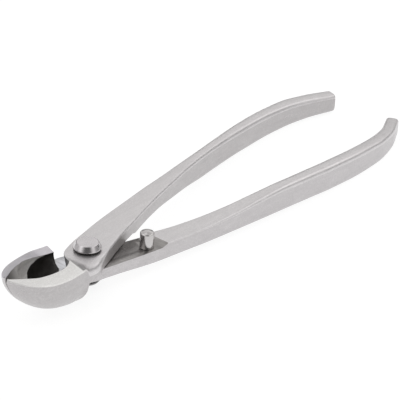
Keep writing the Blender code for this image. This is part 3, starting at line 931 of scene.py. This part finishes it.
def head_profile(face_radius, face_height, inner_radius, inner_end):
    """Conical head from its face outwards, and then its shank or its well as far as its end."""
    return eased(
        [
            (0, face_height),
            (face_radius - CHAMFER_WIDTH, face_height),
            (face_radius, face_height - CHAMFER_DROP),
            (HEAD_RADIUS, HEAD_BASE + HEAD_BAND),
            (HEAD_RADIUS, HEAD_BASE),
            (inner_radius, HEAD_BASE),
            (inner_radius, inner_end),
            (0, inner_end),
        ]
    )


rivet_steel = turned("rivet_steel", (0.58, 0.56, 0.57), 0.18, 9000)
head = head_profile(HEAD_FACE_RADIUS, HEAD_FACE_HEIGHT, SHANK_RADIUS, STACK_GAP - WELL_TOP)
turned_piece("rivet_turned", head, (0, 0), False, rivet_steel, "pivot_rivet")
# The cap is painted near-black as painted shade, where it sits low under the lower lever.
cap_painted_shade_steel = turned("cap_painted_shade_steel", (0.17, 0.165, 0.165), 0.34, 9000)
cap = head_profile(CAP_FACE_RADIUS, CAP_FACE_HEIGHT, WELL_RADIUS, WELL_TOP)
turned_piece("cap_turned", cap, (0, 0), True, cap_painted_shade_steel, "rivet_cap")

WASHER_ROUNDING = 0.12 * MM
low = LAP_THICKNESS + STACK_GAP
high = low + WASHER_THICKNESS
washer = [
    (WASHER_RADIUS - WASHER_ROUNDING, high),
    (WASHER_RADIUS, high - WASHER_ROUNDING),
    (WASHER_RADIUS, low + WASHER_ROUNDING),
    (WASHER_RADIUS - WASHER_ROUNDING, low),
    (WELL_RADIUS, low),
    (WELL_RADIUS, high),
]
# The washers are painted near-black as painted shade: the dark ring under each head.
washer_painted_shade_steel = turned("washers_painted_shade", (0.06, 0.057, 0.055), 0.42, 5000, tint=(0.035, 0.033, 0.032))
turned_piece("washer_above", washer, (0, 0), False, washer_painted_shade_steel, "upper_washer")
turned_piece("washer_below", washer, (0, 0), True, washer_painted_shade_steel, "lower_washer")

DOME_HEIGHT, DOME_POWER, DOME_STEPS = 0.45 * MM, 2.2, 8  # of the pin's top
PIN_CHAMFER_STEPS = 6
dome_radius = PIN_RADIUS - PIN_CHAMFER
shoulder = PIN_HEIGHT - DOME_HEIGHT
floor_of_lap = -LAP_GAP / 2 + STACK_GAP
pin_end = -LAP_THICKNESS + STACK_GAP
pin = []
for i in range(DOME_STEPS + 1):
    share = i / DOME_STEPS
    pin.append((dome_radius * share, PIN_HEIGHT - DOME_HEIGHT * share**DOME_POWER))
for i in range(1, PIN_CHAMFER_STEPS + 1):
    angle = math.pi / 2 * i / PIN_CHAMFER_STEPS
    inwards, down = PIN_CHAMFER * (1 - math.sin(angle)), PIN_CHAMFER * (1 - math.cos(angle))
    pin.append((PIN_RADIUS - inwards, shoulder - down))
pin += [
    (PIN_RADIUS, floor_of_lap),
    (PIN_SHANK_RADIUS, floor_of_lap),
    (PIN_SHANK_RADIUS, pin_end),
    (0, pin_end),
]
pin_steel = turned("pin_steel", (0.56, 0.545, 0.54), 0.14, 7000, PIN_PLACE)
turned_piece("pin_turned", pin, PIN_PLACE, False, pin_steel, "stop_pin")

# ---------------------------------------------------------------- studio

FLOOR_HEIGHT, FLOOR_TILT = -9.02 * MM, 0.0331  # it bears the bowl and the handles
FLOOR_REACH = 4  # metres each way
LAMPS_AIM = Vector((0.06, 0, AXIS_HEIGHT))  # about the middle of the object

# Patches of the room's light: azimuth and elevation of the middle, the angles off it where the
# patch starts and where it is whole, and what it adds to the brightness
PATCHES = (
    (52.7, 26, 50, 18, -0.84),  # dark opening on the camera's side
    (165, 8, 60, 25, -0.3),
    (-48, 4, 40, 14, -0.6),
    (105, 40, 34, 14, 0.3),
    (-58, 36, 26, 10, 0.5),
    (0, 90, 55, 25, -0.3),
)
BEHIND, BEHIND_TOP = (232.7, 0, 75, 40, -0.85), (0.36, 0.16)  # a patch that is dark only low down
DIMMEST = 0.05

floor_mesh = bpy.data.meshes.new("floor")
corners = [(x * FLOOR_REACH, y * FLOOR_REACH, 0) for x, y in ((-1, -1), (1, -1), (1, 1), (-1, 1))]
floor_mesh.from_pydata(corners, [], [(0, 1, 2, 3)])
floor = bpy.data.objects.new("floor", floor_mesh)
bpy.context.scene.collection.objects.link(floor)
paper = Nodes(bpy.data.materials.new("paper"))
paper.shade(
    Base_Color=(0.22, 0.22, 0.22, 1),
    Roughness=0.9,
    Specular_IOR_Level=0.1,
    Emission_Color=(1, 1, 1, 1),
    Emission_Strength=0.86,
)
floor_mesh.materials.append(paper.owner)
floor.location.z = AXIS_HEIGHT + FLOOR_HEIGHT
floor.rotation_euler.y = -math.atan(FLOOR_TILT)


def direction(azimuth, elevation):
    """Unit vector towards a place round the object, in degrees. Azimuth 0 is -Y and 90 is -X."""
    a, e = math.radians(azimuth), math.radians(elevation)
    return Vector((-math.sin(a) * math.cos(e), -math.cos(a) * math.cos(e), math.sin(e)))


def studio():
    """Pale room: bright above and behind the object, with a dark opening on the camera's side."""
    world = bpy.data.worlds.new("studio")
    bpy.context.scene.world = world
    n = Nodes(world)
    where = n.add("ShaderNodeTexCoord").outputs["Generated"]

    def patch(azimuth, elevation, start, end, change):
        inputs = {0: where, 1: direction(azimuth, elevation)}
        near = n.add("ShaderNodeVectorMath", inputs, operation="DOT_PRODUCT").outputs["Value"]
        limits = math.cos(math.radians(start)), math.cos(math.radians(end))
        inside_it = n.span(near, 0, 1, *limits, interpolation_type="SMOOTHSTEP")
        return n.maths("MULTIPLY", inside_it, change)

    level = 1.0
    for numbers in PATCHES:
        level = n.maths("ADD", level, patch(*numbers))
    low_down = n.span(n.split(where)[2], 0, 1, *BEHIND_TOP, interpolation_type="SMOOTHSTEP")
    level = n.maths("ADD", level, n.maths("MULTIPLY", low_down, patch(*BEHIND)))
    background = n.tree.nodes["Background"].inputs
    n.put(background["Strength"], n.maths("MAXIMUM", level, DIMMEST))
    n.put(background["Color"], (1.0, 0.993, 0.988, 1))


def area(name, azimuth, elevation, distance, size, power):
    data = bpy.data.lights.new(name, "AREA")
    data.shape = "RECTANGLE"
    data.size, data.size_y = size
    data.energy = power
    light = bpy.data.objects.new(name, data)
    bpy.context.scene.collection.objects.link(light)
    away = direction(azimuth, elevation)
    light.location = LAMPS_AIM + away * distance
    light.rotation_euler = away.to_track_quat("Z", "Y").to_euler()


studio()
area("key", 130, 62, 1.9, (2.2, 2.2), 6.0)
area("fill", -20, 55, 1.9, (2.0, 1.6), 3.0)
bpy.context.scene.view_settings.view_transform = "Standard"

# ---------------------------------------------------------------- camera

AZIMUTH, ELEVATION, ROLL = 52.7465, 27.8994, 3.173  # degrees
DISTANCE = 0.7  # metres
TARGET = Vector((0.06172, 0.00034, AXIS_HEIGHT))
PICTURE, FOCAL = 400, 1936.14  # width of the picture, and focal length, in pixels
SENSOR = 36  # millimetres

back = direction(AZIMUTH, ELEVATION)
right = (-back).cross(Vector((0, 0, 1))).normalized()
up = right.cross(-back)
roll = math.radians(ROLL)
right, up = (
    right * math.cos(roll) + up * math.sin(roll),
    up * math.cos(roll) - right * math.sin(roll),
)
turn = Matrix((right, up, back)).transposed().to_4x4()
camera_data = bpy.data.cameras.new("camera")
camera_data.sensor_width = SENSOR
camera_data.lens = FOCAL * SENSOR / PICTURE
camera = bpy.data.objects.new("camera", camera_data)
bpy.context.scene.collection.objects.link(camera)
camera.matrix_world = Matrix.Translation(TARGET + back * DISTANCE) @ turn
bpy.context.scene.camera = camera
